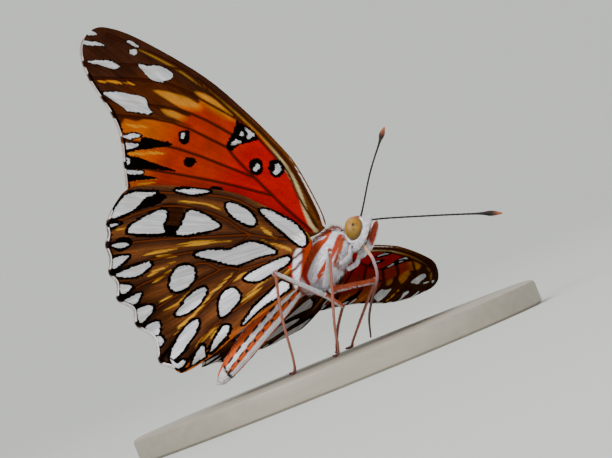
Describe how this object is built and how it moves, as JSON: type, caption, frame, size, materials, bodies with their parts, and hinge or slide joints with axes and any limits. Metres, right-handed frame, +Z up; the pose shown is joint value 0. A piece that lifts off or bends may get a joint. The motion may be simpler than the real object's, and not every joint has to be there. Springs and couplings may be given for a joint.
{
  "type": "butterfly figure",
  "caption": "Life-size still model of a gulf fritillary butterfly with raised wings, standing on a round base.",
  "frame": {"origin": "centre of the base's underside, on the floor", "axes": "+Z up from the floor; +X the way the head faces in the picture's plane; +Y away from the picture's camera"},
  "size_m": [0.052, 0.0597, 0.0499],
  "materials": {
    "thorax": "soft hair, white bands between rust and orange",
    "abdomen": "fine scales, orange above and white below",
    "head": "short hair",
    "eye": "glossy amber",
    "palp": "white scales with a rust stripe",
    "antenna": "satin black with a rust club",
    "proboscis": "satin",
    "leg": "satin, brown above and grey white below",
    "forewing": "matt scales, red to orange and brown, with silver spots",
    "hindwing": "matt brown scales with silver spots",
    "stand_base": "matt"
  },
  "bodies": {
    "root": {"abdomen": "abdomen", "antenna_left": "antenna", "antenna_right": "antenna", "eye_left": "eye", "eye_right": "eye", "foreleg_left": "leg", "foreleg_right": "leg", "forewing_left": "forewing", "forewing_right": "forewing", "head": "head", "hindleg_left_femur": "leg", "hindleg_left_shank": "leg", "hindleg_right_femur": "leg", "hindleg_right_shank": "leg", "hindwing_left": "hindwing", "hindwing_right": "hindwing", "midleg_left_femur": "leg", "midleg_left_shank": "leg", "midleg_right_femur": "leg", "midleg_right_shank": "leg", "palp_left": "palp", "palp_right": "palp", "proboscis": "proboscis", "stand_base": "stand_base", "thorax": "thorax"}
  },
  "joints": []
}
